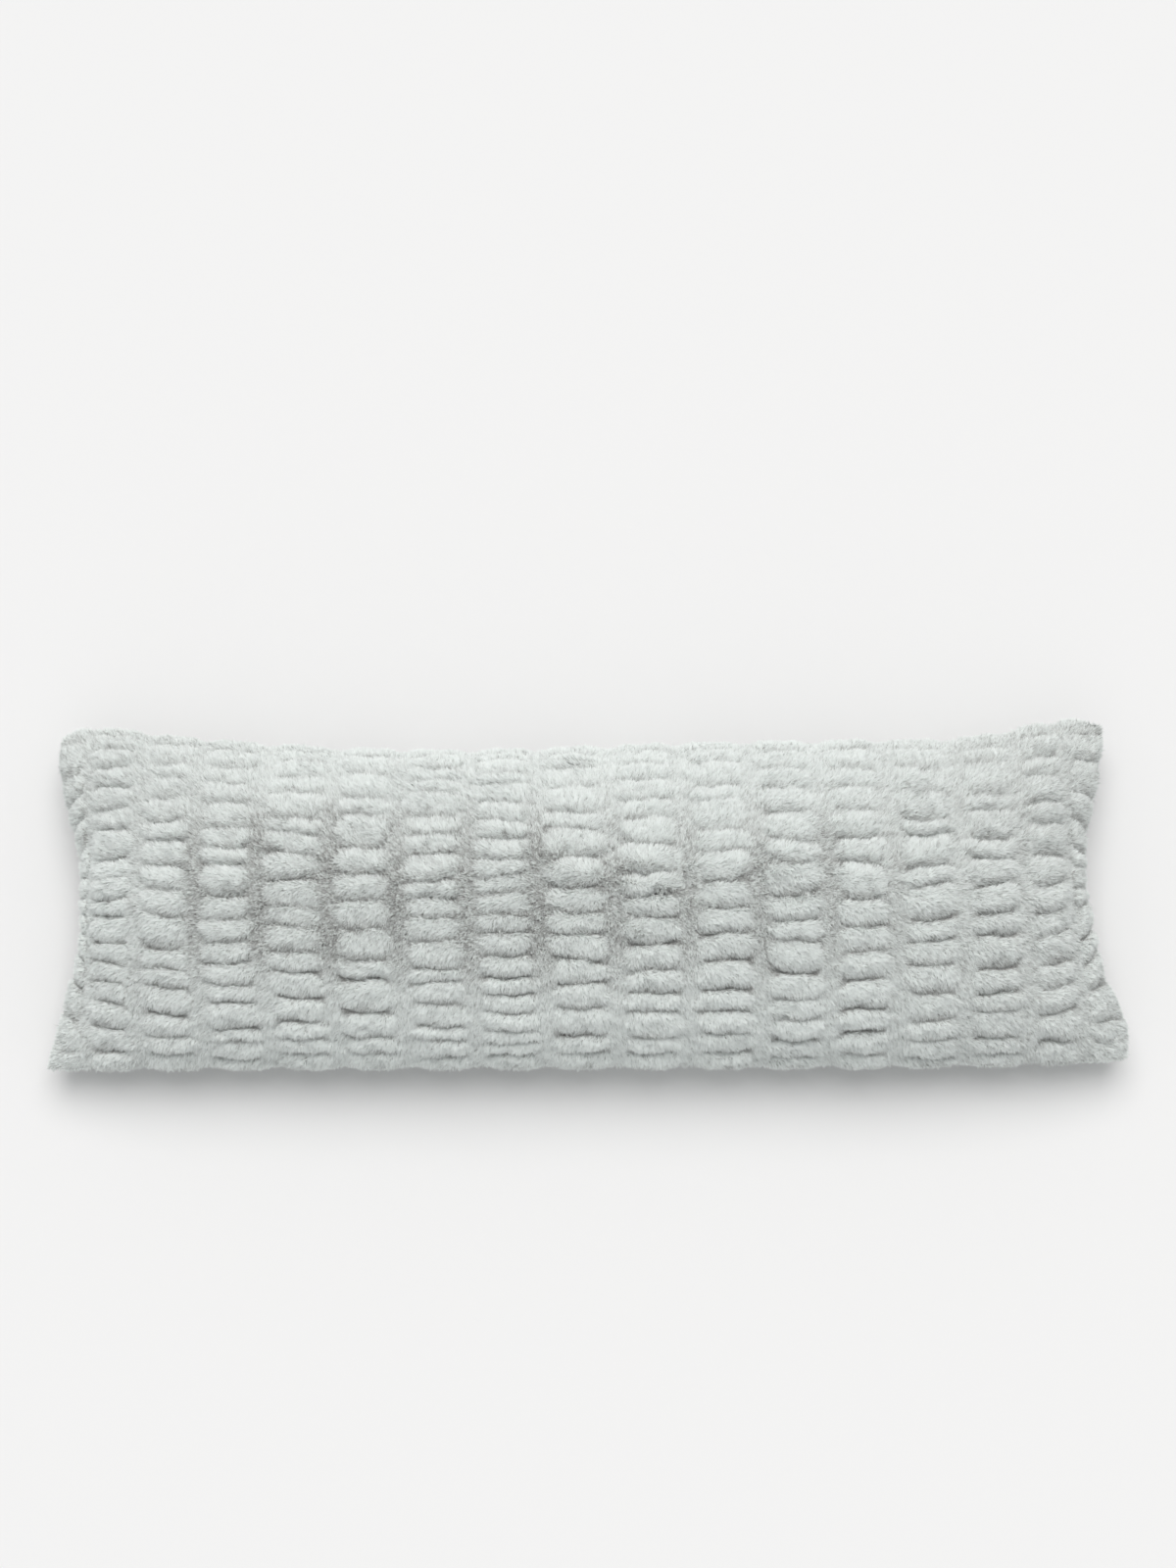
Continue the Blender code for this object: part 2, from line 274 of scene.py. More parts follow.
# far end of the tone map: parted pile, and the painted shade of slits, puff undersides, seams, ends and
# low rim
PARTED_AND_SHADED_ROOT = (0.13, 0.12, 0.113, 1)
PARTED_AND_SHADED_MIDDLE = (0.37, 0.372, 0.36, 1)
PARTED_AND_SHADED_TIP = (0.64, 0.665, 0.65, 1)
MIDDLE_COLOR_AT = 0.40
BACKING = (0.34, 0.34, 0.33, 1)
BACKING_LIGHT = (0.46, 0.47, 0.46, 1)
SPECKLE_SCALE = 400.0

TINY = 1e-12  # keeps a division from failing
rng = np.random.default_rng(PILE_SEED)


# ---- The shape of the face, on whole arrays of points ----
def mix(start, end, share):
    return start + (end - start) * share


def climb(values, ramp):
    """How far up a ramp values are, from 0 to 1."""
    return np.clip((values - ramp.start) / ramp.width, 0, 1)


def listed(grid):
    """A grid of points or vectors as a list of them."""
    return grid.reshape(-1, grid.shape[-1])


def section_lift(across):
    return np.clip(1.0 - np.abs(across) ** WIDTH_FULLNESS, 0, None) ** EDGE_ROUNDNESS


def even_along_cloth():
    half_width = (HIGH_EDGE_MIDDLE - LOW_EDGE_MIDDLE) / 2
    shares = np.sin(math.pi * (np.arange(ARC_SAMPLES + 1) / ARC_SAMPLES - 0.5))
    steps = np.hypot(half_width * np.diff(shares), FACE_CROWN * np.diff(section_lift(shares)))
    lengths = np.concatenate([[0.0], np.cumsum(steps)])
    return shares, 2 * lengths / lengths[-1] - 1


SHARES, CLOTH_POSITIONS = even_along_cloth()


def curve_through(values, across):
    """A smooth curve through values set at even steps from -1 to 1."""
    values = np.array([values[0], *values, values[-1]])
    place = (np.clip(across, -1, 1) + 1) / 2 * (len(values) - 3)
    first = np.minimum(place.astype(int), len(values) - 4)
    t = place - first
    before, start, end, after = (values[first + i] for i in range(4))
    bend = 2 * before - 5 * start + 4 * end - after + (3 * start - 3 * end + after - before) * t
    return start + t / 2 * (end - before + bend * t)


LEFT_END = (LOW_LEFT.x, *(station.left for station in STATIONS), HIGH_LEFT.x)
RIGHT_END = (LOW_RIGHT.x, *(station.right for station in STATIONS), HIGH_RIGHT.x)
HIGH_EDGE = (HIGH_LEFT.y, *(station.top for station in STATIONS), HIGH_RIGHT.y)


def seam_x(index, across):
    """Where each upright seam or end of the panel lies, at a share of the half width."""
    low = np.array([0.0, *(seam.low for seam in SEAMS), 0.0])[index]
    middle = np.array([0.0, *(seam.middle for seam in SEAMS), 0.0])[index]
    high = np.array([0.0, *(seam.high for seam in SEAMS), 0.0])[index]
    x = middle + (high - low) / 2 * across + ((high + low) / 2 - middle) * across**2
    x = np.where(index == 0, curve_through(LEFT_END, across), x)
    return np.where(index == COLUMNS, curve_through(RIGHT_END, across), x)


def low_edge(x):
    corner_x = np.where(x < 0, LOW_LEFT.x, LOW_RIGHT.x)
    corner_y = np.where(x < 0, LOW_LEFT.y, LOW_RIGHT.y)
    return mix(LOW_EDGE_MIDDLE, corner_y, (x / corner_x) ** EDGE_CURVE_POWER)


def high_edge(x):
    return curve_through(HIGH_EDGE, 2 * (x - HIGH_LEFT.x) / (HIGH_RIGHT.x - HIGH_LEFT.x) - 1)


def flat_place(position, across):
    column = np.minimum(position.astype(int), COLUMNS - 1)
    x = mix(seam_x(column, across), seam_x(column + 1, across), position - column)
    y = mix(low_edge(x), high_edge(x), (across + 1) / 2)
    along = 2 * position / COLUMNS - 1
    left_pull = np.where(across > 0, HIGH_LEFT.pull, LOW_LEFT.pull)
    right_pull = np.where(across > 0, HIGH_RIGHT.pull, LOW_RIGHT.pull)
    pull = np.where(along < 0, left_pull, right_pull) * np.abs(along * across) ** CORNER_SHARPNESS
    return x - np.copysign(pull, x), y - np.copysign(pull, y)


def smooth_place(position, cloth):
    """Places on the face with no seams or puffs in it, as an array of points."""
    across = np.interp(cloth, CLOTH_POSITIONS, SHARES)
    x, y = flat_place(position, across)
    left_end = seam_x(np.zeros_like(x, int), across)
    right_end = seam_x(np.full_like(x, COLUMNS, int), across)
    along = np.clip(x / np.where(x < 0, left_end, right_end), 0, 1) ** LENGTH_FULLNESS
    crown = FACE_CROWN * (1 - along) ** EDGE_ROUNDNESS * section_lift(across)
    return np.stack([x, y, EDGE_HEIGHT - CORNER_DROOP * along * across**2 + crown], -1)


def unit(vectors):
    return vectors / np.maximum(np.linalg.norm(vectors, axis=-1, keepdims=True), TINY)


def face_frame(position, cloth):
    """Directions up along the smooth face and out of it."""
    left = np.maximum(position - SLOPE_STEP * COLUMNS, 0.0)
    right = np.minimum(position + SLOPE_STEP * COLUMNS, COLUMNS)
    below = np.maximum(cloth - SLOPE_STEP, -1.0)
    above = np.minimum(cloth + SLOPE_STEP, 1.0)
    sideways = smooth_place(right, cloth) - smooth_place(left, cloth)
    upwards = smooth_place(position, above) - smooth_place(position, below)
    return unit(upwards), unit(np.cross(sideways, upwards))


def gathers():
    """The grooves of every column, drawn as the solid's source draws them."""
    shape = (COLUMNS, max(PUFF_COUNTS) + 1)
    positions, depths, slants, lows, asides = np.zeros((5, *shape))
    for column, puffs in enumerate(PUFF_COUNTS):
        chance = random.Random(PATTERN_SEED * COLUMNS + column)
        pitch = 2 / puffs
        column_shift = chance.uniform(-COLUMN_SHIFT, COLUMN_SHIFT)
        for i in range(puffs + 1):
            even = i * pitch - 1
            shift = column_shift + chance.uniform(-GROOVE_SHIFT, GROOVE_SHIFT)
            positions[column, i] = even + pitch * shift * (1 - even**EDGE_HOLD)
            depth = GROOVE_DEPTH * chance.uniform(SHALLOWEST_GROOVE, 1.0) * (1 - GROOVE_EASING * even)
            depths[column, i] = EDGE_GROOVE_DEPTH if i in (0, puffs) else depth
            slants[column, i] = chance.uniform(-GROOVE_SLANT, GROOVE_SLANT)
            lows[column, i] = chance.uniform(0, LOWEST_PUFF)
            asides[column, i] = chance.uniform(-GROOVE_ASIDE, GROOVE_ASIDE)
    return positions, depths, slants, lows, asides


GROOVE_POSITIONS, GROOVE_DEPTHS, GROOVE_SLANTS, PUFF_LOWS, GROOVE_ASIDES = gathers()


def puffs_of_rows():
    """The puff that each row of each column lies in, and how far up through it."""
    rows = np.arange(FACE_ROWS + 1)
    reached = []
    for puffs in PUFF_COUNTS:
        starts = [round(FACE_ROWS * i / puffs) for i in range(puffs + 1)]
        reached.append(np.interp(rows, starts, range(puffs + 1)))
    reached = np.array(reached)
    puff = np.minimum(reached.astype(int), np.array(PUFF_COUNTS)[:, None] - 1)
    return puff, reached - puff


ROW_PUFFS, ROW_STEPS = puffs_of_rows()


def row_position(column, part, row):
    """Position along the cloth of a row of the grid, leaning as the grooves by it do."""
    column = np.clip(column, 0, COLUMNS - 1)
    puff, step = ROW_PUFFS[column, row], ROW_STEPS[column, row]
    position = mix(GROOVE_POSITIONS[column, puff], GROOVE_POSITIONS[column, puff + 1], step)
    slant = mix(GROOVE_SLANTS[column, puff], GROOVE_SLANTS[column, puff + 1], step) * (part - 0.5)
    fan = END_FAN * np.abs(2 * (column + part) / COLUMNS - 1) ** END_FAN_POWER
    return position + (1 - position**2) * (slant - fan * position)


def shared_row_position(column, part, row):
    """The rows of two columns meet halfway at the seam between them."""
    own = row_position(column, part, row)
    left = row_position(column - 1, part * 0 + 1, row)
    right = row_position(column + 1, part * 0, row)
    left_share = 0.5 * np.clip(1 - part / SEAM_BLEND, 0, 1) * (column > 0)
    right_share = 0.5 * np.clip(1 - (1 - part) / SEAM_BLEND, 0, 1) * (column < COLUMNS - 1)
    return own * (1 - left_share - right_share) + left * left_share + right * right_share


def puff_shape(column, part, row):
    """How far the face lies below the tips of its fullest puffs, how full it is, and its underside."""
    puff, step = ROW_PUFFS[column, row], ROW_STEPS[column, row]
    aside = (2 * part - 1) / (1 - FLAT_SEAM)
    at_outer_end = ((column == 0) & (part < 0.5)) | ((column == COLUMNS - 1) & (part > 0.5))
    aside = np.clip(np.where(at_outer_end, aside * END_FULLNESS, aside), -1, 1)
    reach = np.sqrt(1 - np.abs(aside) ** PUFF_TAPER)
    apart = np.minimum(np.abs(2 * step**PUFF_TOP_WEIGHT - 1) / np.maximum(reach, TINY), 1)
    fullness = (1 - apart**PUFF_SQUARENESS) ** PUFF_ROUNDNESS * (1 - np.abs(aside) ** COLUMN_SQUARENESS)
    upper = np.clip((step - UPPER_FROM) / (1 - 2 * UPPER_FROM), 0, 1)
    groove = mix(GROOVE_DEPTHS[column, puff], GROOVE_DEPTHS[column, puff + 1], upper)
    groove = groove * np.where(at_outer_end, mix(1, END_GROOVES, np.abs(2 * part - 1)), 1)
    slit = mix(GROOVE_ASIDES[column, puff], GROOVE_ASIDES[column, puff + 1], upper)
    from_slit = np.minimum(np.abs(aside - slit * (1 - aside**2)) / GROOVE_REACH, 1)
    valley = mix(groove, SEAM_DEPTH, from_slit**3)
    underside = np.clip(1 - step / UNDERSIDE, 0, 1) * (1 - from_slit**2)
    return mix(valley, PUFF_LOWS[column, puff], fullness), fullness, underside


def plainness(position, cloth):
    """How far the gathers die away: towards the corners, and a little along the edges."""
    along = 2 * position / COLUMNS - 1
    low = np.where(along < 0, LOW_LEFT.plain, LOW_RIGHT.plain)
    high = np.where(along < 0, HIGH_LEFT.plain, HIGH_RIGHT.plain)
    at_corner = np.where(cloth < 0, low, high) * along**PLAIN_END_POWER * cloth**2
    flatness = np.where(cloth < 0, LOW_RIM_FLATNESS, HIGH_RIM_FLATNESS)
    return np.clip(at_corner, flatness * np.abs(cloth) ** RIM_POWER, 1)


# ---- Even noise, the same on each run ----
LATTICE = 64
NOISE_SEED = 3
LATTICE_VALUES = np.random.default_rng(NOISE_SEED).uniform(-1, 1, (LATTICE, LATTICE))
TURN_X = 17.3
TURN_Y = 9.1


def noise(x, y, scale, turn=0):
    """Smooth noise from -1 to 1 with features of about that scale, another one for each turn."""
    x, y = x / scale + TURN_X * turn, y / scale + TURN_Y * turn
    i, j = np.floor(x).astype(int), np.floor(y).astype(int)
    u, v = x - i, y - j
    u, v = u * u * (3 - 2 * u), v * v * (3 - 2 * v)

    def at(a, b):
        return LATTICE_VALUES[a % LATTICE, b % LATTICE]

    return mix(mix(at(i, j), at(i + 1, j), u), mix(at(i, j + 1), at(i + 1, j + 1), u), v)


# ---- The cloth ----
Skin = namedtuple("Skin", "points quads place up stand shade nap lean length tone parted density")
Face = namedtuple("Face", "points place up stand shade depth fullness underside")


def grid_normals(points):
    return unit(np.cross(np.gradient(points, axis=1), np.gradient(points, axis=0)))


def between_points(values, rows, lines):
    """Values of a coarse grid at all the points of the fine one."""
    row = np.linspace(0, len(values) - 1, rows)
    low = np.minimum(row.astype(int), len(values) - 2)
    values = mix(values[low], values[low + 1], (row - low)[:, None, None])
    line = np.linspace(0, values.shape[1] - 1, lines)
    left = np.minimum(line.astype(int), values.shape[1] - 2)
    return mix(values[:, left], values[:, left + 1], (line - left)[None, :, None])


def settled(points, hold):
    """The cloth of the face as the filling presses it out, held by its seams and its slits."""
    start = points[::SETTLING_STEP, ::SETTLING_STEP]
    mesh = make_mesh("settling", listed(start), grid_quads(*start.shape[:2]))
    piece = bpy.data.objects.new("settling", mesh)
    bpy.context.scene.collection.objects.link(piece)
    sewn = piece.vertex_groups.new(name="sewn")
    level = np.round(hold[::SETTLING_STEP, ::SETTLING_STEP].ravel() * HOLD_LEVELS)
    for i in range(1, HOLD_LEVELS + 1):
        sewn.add(np.flatnonzero(level == i).tolist(), i / HOLD_LEVELS, "REPLACE")
    cloth = piece.modifiers.new("cloth", "CLOTH")
    cloth.settings.vertex_group_mass = "sewn"
    cloth.settings.use_pressure = True
    cloth.settings.uniform_pressure_force = FILLING_PRESSURE
    cloth.settings.shrink_min = -CLOTH_SPARE
    cloth.settings.effector_weights.gravity = 0
    for frame in range(1, SETTLING_FRAMES + 1):
        bpy.context.scene.frame_set(frame)
    pressed = piece.evaluated_get(bpy.context.evaluated_depsgraph_get()).data
    moved = np.empty(start.size, np.float32)
    pressed.vertices.foreach_get("co", moved)
    bpy.data.objects.remove(piece)
    bpy.data.meshes.remove(mesh)
    bpy.context.scene.frame_set(1)
    shift = moved.reshape(start.shape) - start
    far = np.linalg.norm(shift, axis=-1, keepdims=True)
    shift = shift * np.minimum(1, MOST_SETTLING / np.maximum(far, TINY))
    return points + between_points(shift, *points.shape[:2])


def crumpled(crumple, x, y):
    return crumple.height * noise(x, y, crumple.scale, crumple.turn)


def face_cloth():
    """Points of the cloth under the pile, row by row, with what the pile needs at each."""
    line = np.arange(COLUMNS * COLUMN_CUTS + 1)[None, :]
    row = np.arange(FACE_ROWS + 1)[:, None]
    column = np.minimum(line // COLUMN_CUTS, COLUMNS - 1)
    part = (line - column * COLUMN_CUTS) / COLUMN_CUTS
    column, part, row = np.broadcast_arrays(column, part, row)
    position = column + part
    cloth = shared_row_position(column, part, row)
    depth, fullness, underside = puff_shape(column, part, row)
    plain = 1 - plainness(position, cloth)
    depth = depth * plain
    smooth = smooth_place(position, cloth)
    up, outwards = face_frame(position, cloth)
    x, v = smooth[..., 0], cloth * CLOTH_HALF
    from_rim = np.clip((1 - np.abs(cloth)) / CRUMPLE_RIM, 0, 1)
    from_end = np.clip((COLUMNS / 2 - np.abs(position - COLUMNS / 2)) / CRUMPLE_END, 0, 1)
    inner = from_rim * from_end
    ruffle = crumpled(RUFFLE, x, v) + crumpled(FOLD, x, v * FOLD_SQUEEZE)
    points = smooth - (depth + PILE_HEIGHT + ruffle * inner)[..., None] * outwards
    points = points + (crumpled(RISE, x, v) * inner)[..., None] * up
    points = points + (crumpled(SWAY, x, v) * inner)[..., None] * np.cross(up, outwards)
    points = settled(points, np.clip(1 - LOOSENESS * fullness * inner, 0, 1))
    relief = grid_normals(points)
    stand = unit(mix(outwards, relief, STAND_BY_RELIEF))
    shade = unit(mix(outwards, relief, SHADE_BY_RELIEF))
    return Face(points, np.stack([x, v], -1), up, stand, shade, depth, fullness, underside * plain)


def back_cloth(border):
    """Rings from the edge seam down to the flat patch and in over it to its middle line."""
    half_length = (LOW_RIGHT.x - LOW_LEFT.x) / 2
    half_width = (HIGH_EDGE_MIDDLE - LOW_EDGE_MIDDLE) / 2
    rings = []
    for ring in range(BACK_RINGS + 1):
        angle = math.pi / 2 * ring / BACK_RINGS
        inset = BACK_INSET * (1 - math.cos(angle))
        scale = (1 - inset / half_length, 1 - inset / half_width, 1 - math.sin(angle))
        rings.append(border * scale)
    for ring in range(1, PATCH_RINGS + 1):
        share = ring / PATCH_RINGS
        rings.append(rings[BACK_RINGS] * (1 - PATCH_NARROWING * share, 1 - share, 0))
    rings = np.array(rings)
    rings[..., 2] = np.maximum(rings[..., 2], PRESSED_PILE)
    return rings


def ring_of(grid):
    """The grid's rim, once round."""
    return np.concatenate([grid[0, :-1], grid[:-1, -1], grid[-1, :0:-1], grid[:0:-1, 0]])


def make_mesh(name, points, faces, uvs=None):
    """A mesh from arrays: faces all have the same number of corners."""
    mesh = bpy.data.meshes.new(name)
    corners = faces.shape[1]
    mesh.vertices.add(len(points))
    mesh.vertices.foreach_set("co", points.astype(np.float32).ravel())
    mesh.loops.add(faces.size)
    mesh.loops.foreach_set("vertex_index", faces.astype(np.int32).ravel())
    mesh.polygons.add(len(faces))
    mesh.polygons.foreach_set("loop_start", np.arange(0, faces.size, corners, dtype=np.int32))
    mesh.update(calc_edges=True)
    if uvs is not None:
        mesh.uv_layers.new(name="OFBake").uv.foreach_set("vector", uvs.astype(np.float32).ravel())
    return mesh


def add_piece(name, mesh, material):
    mesh.materials.append(material)
    piece = bpy.data.objects.new(name, mesh)
    bpy.context.scene.collection.objects.link(piece)
    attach(piece, "root")
    return piece


def grid_quads(rows, lines):
    index = np.arange(rows * lines).reshape(rows, lines)
    return np.stack([index[:-1, :-1], index[:-1, 1:], index[1:, 1:], index[1:, :-1]], -1).reshape(-1, 4)


# ---- Materials ----
def shader(material):
    material.use_nodes = True
    return material.node_tree.nodes["Principled BSDF"]


def fur_material():
    """The colour runs from root to tip, and from clean fur to parted fur and painted shade, over the
    strand's own map.
    """
    material = bpy.data.materials.new("faux_fur_pile")
    principled = shader(material)
    nodes, links = material.node_tree.nodes, material.node_tree.links
    place = nodes.new("ShaderNodeUVMap")
    place.uv_map = "OFBake"
    split = nodes.new("ShaderNodeSeparateXYZ")
    links.new(place.outputs["UV"], split.inputs["Vector"])
    clean = nodes.new("ShaderNodeValToRGB")
    # the second ramp: parted pile, and the painted shade of slits, undersides, seams, ends and low rim
    parted = nodes.new("ShaderNodeValToRGB")
    for ramp, root, middle, tip in (
        (clean, CLEAN_ROOT, CLEAN_MIDDLE, CLEAN_TIP),
        (parted, PARTED_AND_SHADED_ROOT, PARTED_AND_SHADED_MIDDLE, PARTED_AND_SHADED_TIP),
    ):
        links.new(split.outputs["Y"], ramp.inputs["Fac"])
        ramp.color_ramp.elements[0].color = root
        ramp.color_ramp.elements[1].color = tip
        ramp.color_ramp.elements.new(MIDDLE_COLOR_AT).color = middle
    both = nodes.new("ShaderNodeMix")
    both.data_type = "RGBA"
    factor, first, second = (s for s in both.inputs if s.enabled)
    links.new(split.outputs["X"], factor)
    links.new(clean.outputs["Color"], first)
    links.new(parted.outputs["Color"], second)
    links.new(next(s for s in both.outputs if s.enabled), principled.inputs["Base Color"])
    principled.inputs["Roughness"].default_value = 0.85
    principled.inputs["Specular IOR Level"].default_value = 0.25
    principled.inputs["Sheen Weight"].default_value = 0.15
    principled.inputs["Sheen Roughness"].default_value = 0.5
    return material


def backing_material():
    material = bpy.data.materials.new("faux_fur_backing")
    principled = shader(material)
    nodes, links = material.node_tree.nodes, material.node_tree.links
    place = nodes.new("ShaderNodeTexCoord")
    speckle = nodes.new("ShaderNodeTexNoise")
    speckle.inputs["Scale"].default_value = SPECKLE_SCALE
    links.new(place.outputs["Object"], speckle.inputs["Vector"])
    ramp = nodes.new("ShaderNodeValToRGB")
    ramp.color_ramp.elements[0].color = BACKING
    ramp.color_ramp.elements[1].color = BACKING_LIGHT
    links.new(speckle.outputs["Fac"], ramp.inputs["Fac"])
    links.new(ramp.outputs["Color"], principled.inputs["Base Color"])
    principled.inputs["Roughness"].default_value = 0.95
    principled.inputs["Specular IOR Level"].default_value = 0.1
    return material


# ---- Pile ----
def inside_quads(values, quads, a, b):
    """Values at places inside quads, from the values at their corners."""
    corners = values.reshape(len(values), -1)[quads]
    low = mix(corners[:, 0], corners[:, 1], a[:, None])
    high = mix(corners[:, 3], corners[:, 2], a[:, None])
    found = mix(low, high, b[:, None])
    return found[:, 0] if values.ndim == 1 else found


TUFT_SHIFTS = np.random.default_rng(TUFT_SEED).uniform(-TUFT_SHIFT, TUFT_SHIFT, (LATTICE, LATTICE, 2))


def nearest_tuft(place):
    """From each place to the middle of the nearest tuft, and that tuft's chance number, -1 to 1."""
    cell = np.floor(place / TUFT).astype(int)
    nearest = np.full(len(place), np.inf)
    pull = np.zeros_like(place)
    chance = np.zeros(len(place))
    for i in (-1, 0, 1):
        for j in (-1, 0, 1):
            other = cell + (i, j)
            spot = other[:, 0] % LATTICE, other[:, 1] % LATTICE
            towards = (other + 0.5 + TUFT_SHIFTS[spot]) * TUFT - place
            distance = (towards**2).sum(1)
            closer = distance < nearest
            nearest[closer] = distance[closer]
            pull[closer] = towards[closer]
            chance[closer] = LATTICE_VALUES[spot][closer]
    return pull, chance


def grow(skin, count, width):
    """Strands as single long triangles: their points, map places, and the way the fur faces."""
    corner = skin.points[skin.quads]
    area = np.linalg.norm(np.cross(corner[:, 2] - corner[:, 0], corner[:, 3] - corner[:, 1]), axis=1) / 2
    reach = np.cumsum(area * skin.density[skin.quads].mean(1))
    marks = (np.arange(count) + rng.uniform(0, 1, count)) / count * reach[-1]
    quads = skin.quads[np.minimum(np.searchsorted(reach, marks), len(area) - 1)]
    a, b = rng.uniform(0, 1, (2, count))
    fields = (skin.points, *skin[2:-1])  # all but the quads and the density
    root, place, up, stand, shade, nap, lean, length, tone, parted = (
        inside_quads(values, quads, a, b) for values in fields
    )
    stand = unit(stand)
    up = unit(up - stand * (up * stand).sum(1, keepdims=True))
    aside = np.cross(up, stand)
    combed = nap + rng.normal(0, STRAND_STRAY, (count, 2))
    combing = np.linalg.norm(combed, axis=1)
    way = (aside * combed[:, :1] + up * combed[:, 1:]) / combing[:, None]
    pull, chance = nearest_tuft(place)
    pull = pull * mix(TUFT_PULL, 1, parted)[:, None]
    lean = lean * np.minimum(combing, MOST_COMBING) * (1 + TUFT_LEAN * chance)
    length = length * rng.uniform(*LENGTH_RANGE, count)
    along = stand * np.cos(lean)[:, None] + way * np.sin(lean)[:, None]
    along = unit(along * length[:, None] + aside * pull[:, :1] + up * pull[:, 1:])
    across = unit(np.cross(stand, along))
    twist = rng.normal(0, STRAND_TWIST, count)[:, None]
    across = across * np.cos(twist) + np.cross(along, across) * np.sin(twist)
    half = width / 2 * rng.uniform(*WIDTH_RANGE, count)[:, None]
    tip = root + along * length[:, None]
    points = np.stack([root - across * half, root + across * half, tip], 1)
    points[..., 2] = np.maximum(points[..., 2], FLOOR_GAP)
    uneven = (rng.normal(0, STRAND_TONE, count) + TUFT_TONE * chance) * (1 + PARTED_SPREAD * parted)
    tone = np.clip(tone + uneven, MAP_MARGIN, 1 - MAP_MARGIN)
    u = np.stack([tone - TONE_HALF, tone + TONE_HALF, tone], 1)
    v = np.tile([MAP_MARGIN, MAP_MARGIN, 1 - MAP_MARGIN], (count, 1))
    return points, np.stack([u, v], -1), stand, unit(shade)


def add_fur(name, skin, count, width, material):
    """The pile over a skin, in pieces of a fair size."""
    points, uvs, stand, shade = grow(skin, count, width)
    order = np.argsort(points[:, 0, 0], kind="stable")
    pieces = math.ceil(count / STRANDS_A_PIECE)
    for i, part in enumerate(np.array_split(order, pieces)):
        corner = points[part].reshape(-1, 3)
        faces = np.arange(len(corner)).reshape(-1, 3)
        normal = np.cross(corner[1::3] - corner[::3], corner[2::3] - corner[::3])
        turned = (normal * (stand[part] + (0, 0, UPWARD))).sum(1) < 0
        faces[turned] = faces[turned][:, [1, 0, 2]]
        uv = uvs[part].reshape(-1, 2)[faces.ravel()]
        mesh = make_mesh(f"{name}_{i + 1}", corner, faces, uv)
        soft = mix(unit(normal * np.where(turned, -1, 1)[:, None]), shade[part], NORMAL_SOFTNESS)
        layer = mesh.attributes.new("custom_normal", "FLOAT_VECTOR", "POINT")
        layer.data.foreach_set("vector", np.repeat(unit(soft), 3, axis=0).astype(np.float32).ravel())
        add_piece(f"{name}_{i + 1}", mesh, material)


def openness_at(x, y):
    """How far a place lies in the open region, from 0 to 1."""
    beside = ((x - OPEN.x) / OPEN.half_length) ** OPEN_LENGTH_POWER
    above = ((y - OPEN.y) / OPEN.half_width) ** OPEN_WIDTH_POWER
    return np.exp(-above - beside)


def parting(face, seam):
    """How far the pile is parted: in the seams of the open region, and more to its left."""
    x, y = face.points[..., 0], face.points[..., 1]
    u, v = face.place[..., 0], face.place[..., 1]
    worn = climb(-x, WORN)
    on_puffs = PARTED_ON_PUFFS + PARTED_ON_WORN_PUFFS * worn
    in_seams = PARTED_IN_SEAMS + PARTED_IN_WORN_SEAMS * worn
    uneven = 1 + PARTED_UNEVENNESS * noise(u, v, PARTED_PATCH, 2)
    return np.clip(openness_at(x, y) * (on_puffs + in_seams * seam) * uneven, 0, 1)


def combing_of(face, parted):
    """The way the pile is brushed, as its share along the pillow and up the face."""
    x, y = face.points[..., 0], face.points[..., 1]
    u, v = face.place[..., 0], face.place[..., 1]
    swirl_x = noise(u, v, SWIRL_SCALE) + noise(u, v, SMALL_SWIRL_SCALE, 1)
    swirl_y = noise(u, v, SWIRL_SCALE, 9) + noise(u, v, SMALL_SWIRL_SCALE, 10)
    swept = np.stack([np.tanh(x / SWEEP_LENGTH), np.tanh((y - SWEEP_AT) / SWEEP_WIDTH)], -1)
    nap = swept + SWIRL * np.stack([swirl_x, swirl_y], -1)
    nap = nap / np.maximum(np.linalg.norm(nap, axis=-1, keepdims=True), LEAST_NAP)
    return nap * (1 - PARTED_NAP_LOSS * parted)[..., None]


def painted_shade_over_face(x, y, down, seam):
    """Painted shade without partings or slits: darker up the face, in seams, at the ends and the low
    rim.
    """
    upper = PAINTED_UPPER_SHADE * climb(y, UPPER_PART)
    left = PAINTED_LEFT_END_SHADE * climb(-x, LEFT_PART) * climb(np.abs(y), ABOVE_AND_BELOW)
    right = PAINTED_RIGHT_END_SHADE * climb(x, RIGHT_PART)
    return upper + PAINTED_SEAM_SHADE * seam + left + right + PAINTED_LOW_RIM_SHADE * climb(down, LOW_RIM)


